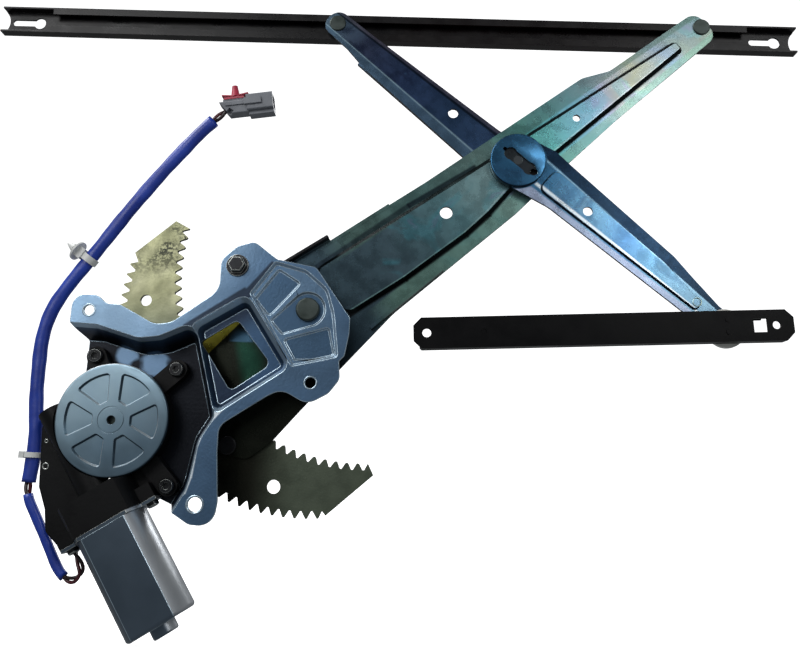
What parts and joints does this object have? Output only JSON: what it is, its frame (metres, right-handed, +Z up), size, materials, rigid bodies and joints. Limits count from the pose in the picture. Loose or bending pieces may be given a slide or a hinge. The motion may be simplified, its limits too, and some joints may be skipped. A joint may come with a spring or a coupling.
{
  "type": "window regulator",
  "caption": "Cross-arm power window regulator with toothed sector, geared motor, pressed bracket, glass and door rails, and a sleeved motor lead with its plug.",
  "frame": {"origin": "axis of the bracket's lug C hole, in the plane where the lugs meet the door panel", "axes": "+X along the glass rail, +Z up the door, -Y towards the cabin, out of the lugs"},
  "size_m": [0.6385, 0.0536, 0.4761],
  "materials": {
    "bracket_paint": "smooth slate-blue paint",
    "bolt_black": "black oxide, bright rims",
    "rivet_steel": "plain steel",
    "case_plastic": "black moulded plastic",
    "cover_metal": "satin blue-grey",
    "can_paint": "dark slate gloss paint",
    "bush_bronze": "sintered bronze",
    "magnet_dark": "sintered ferrite",
    "card_brown": "resin board",
    "rubber_black": "matte",
    "wire_cover": "maroon wire cover",
    "sleeve_blue": "royal-blue soft sleeve",
    "nylon_clear": "natural nylon",
    "plug_grey": "mid-grey moulded",
    "pin_tin": "tinned",
    "clip_red": "red moulded",
    "core_steel": "laminated steel",
    "commutator_copper": "copper",
    "wheel_plastic": "natural acetal",
    "zinc_iridescent": "iridescent zinc plate",
    "zinc_yellow": "yellow zinc plate with grease",
    "zinc_blue": "blue zinc plate",
    "roller_plastic": "dark nylon",
    "rail_black": "gloss black paint"
  },
  "bodies": {
    "base": {"bracket": "bracket_paint", "lug_bolt": "bolt_black", "pivot_pin": "rivet_steel", "gear_housing": "case_plastic", "gear_cover": "cover_metal", "case_screws": "bolt_black", "output_bush": "bush_bronze", "motor_can": "can_paint", "can_flange": "can_paint", "flange_screws": "bolt_black", "end_bearing": "bush_bronze", "magnets": "magnet_dark", "brush_card": "card_brown", "wire_grommet": "rubber_black", "motor_wires": "wire_cover", "lower_sleeve": "sleeve_blue", "upper_sleeve": "sleeve_blue", "cable_tie": "nylon_clear", "harness_clip": "nylon_clear", "connector": "plug_grey", "connector_pins": "pin_tin", "connector_clip": "clip_red"},
    "armature": {"armature_shaft": "rivet_steel", "armature_core": "core_steel", "commutator": "commutator_copper"},
    "output": {"worm_wheel": "wheel_plastic", "output_pinion": "rivet_steel"},
    "lift_arm": {"lift_arm": "zinc_iridescent", "sector_gear": "zinc_yellow", "sector_rivets": "rivet_steel", "pivot_bush": "bush_bronze", "glass_stud_1": "rivet_steel"},
    "assist_arm": {"assist_arm_front": "zinc_blue", "assist_arm_rear": "zinc_blue", "centre_hub": "rivet_steel", "centre_rivet": "rivet_steel", "centre_washers": "wheel_plastic", "glass_stud_2": "rivet_steel", "door_stud": "rivet_steel"},
    "glass_roller_1": {"glass_roller_1": "roller_plastic"},
    "glass_roller_2": {"glass_roller_2": "roller_plastic"},
    "door_roller": {"door_roller": "roller_plastic", "roller_shield": "roller_plastic"},
    "upper_rail": {"upper_rail": "rail_black"},
    "lower_rail": {"lower_rail": "rail_black"}
  },
  "joints": [
    {"name": "lift", "type": "hinge", "parent": "base", "child": "lift_arm", "pos_m": [-0.0053, 0.03, 0.0512], "axis": [0, -1, 0], "range_deg": [-57, 8]},
    {"name": "centre_pivot", "type": "hinge", "parent": "lift_arm", "child": "assist_arm", "pos_m": [0.14144, 0.03, 0.17346], "axis": [0, -1, 0], "range_deg": [-16, 114]},
    {"name": "output_turn", "type": "hinge", "parent": "base", "child": "output", "pos_m": [-0.13446, 0.03, -0.02989], "axis": [0, -1, 0], "range_deg": [-89.6, 638.4]},
    {"name": "glass_roller_1_turn", "type": "hinge", "parent": "lift_arm", "child": "glass_roller_1", "pos_m": [0.28358, 0.03, 0.29188], "axis": [0, -1, 0], "range_deg": [-8, 57]},
    {"name": "glass_roller_2_turn", "type": "hinge", "parent": "assist_arm", "child": "glass_roller_2", "pos_m": [-0.00069, 0.03, 0.29188], "axis": [0, -1, 0], "range_deg": [-57, 8]},
    {"name": "door_roller_turn", "type": "hinge", "parent": "assist_arm", "child": "door_roller", "pos_m": [0.28818, 0.03, 0.0512], "axis": [0, -1, 0], "range_deg": [-57, 8]},
    {"name": "upper_rail_slide", "type": "slide", "parent": "glass_roller_1", "child": "upper_rail", "axis": [1, 0, 0], "range_m": [-0.03, 0.14]},
    {"name": "lower_rail_slide", "type": "slide", "parent": "door_roller", "child": "lower_rail", "axis": [0.9982, 0, 0.0593], "range_m": [-0.005, 0.18]},
    {"name": "armature_turn", "type": "hinge", "parent": "base", "child": "armature", "pos_m": [-0.16264, 0.014, -0.04819], "axis": [0.5446, 0, -0.8387], "continuous": true}
  ],
  "couplings": [
    {"joint": "centre_pivot", "follows": "lift", "ratio": -2},
    {"joint": "output_turn", "follows": "lift", "ratio": -11.2},
    {"joint": "glass_roller_1_turn", "follows": "lift", "ratio": -1},
    {"joint": "glass_roller_2_turn", "follows": "lift", "ratio": 1},
    {"joint": "door_roller_turn", "follows": "lift", "ratio": 1}
  ]
}
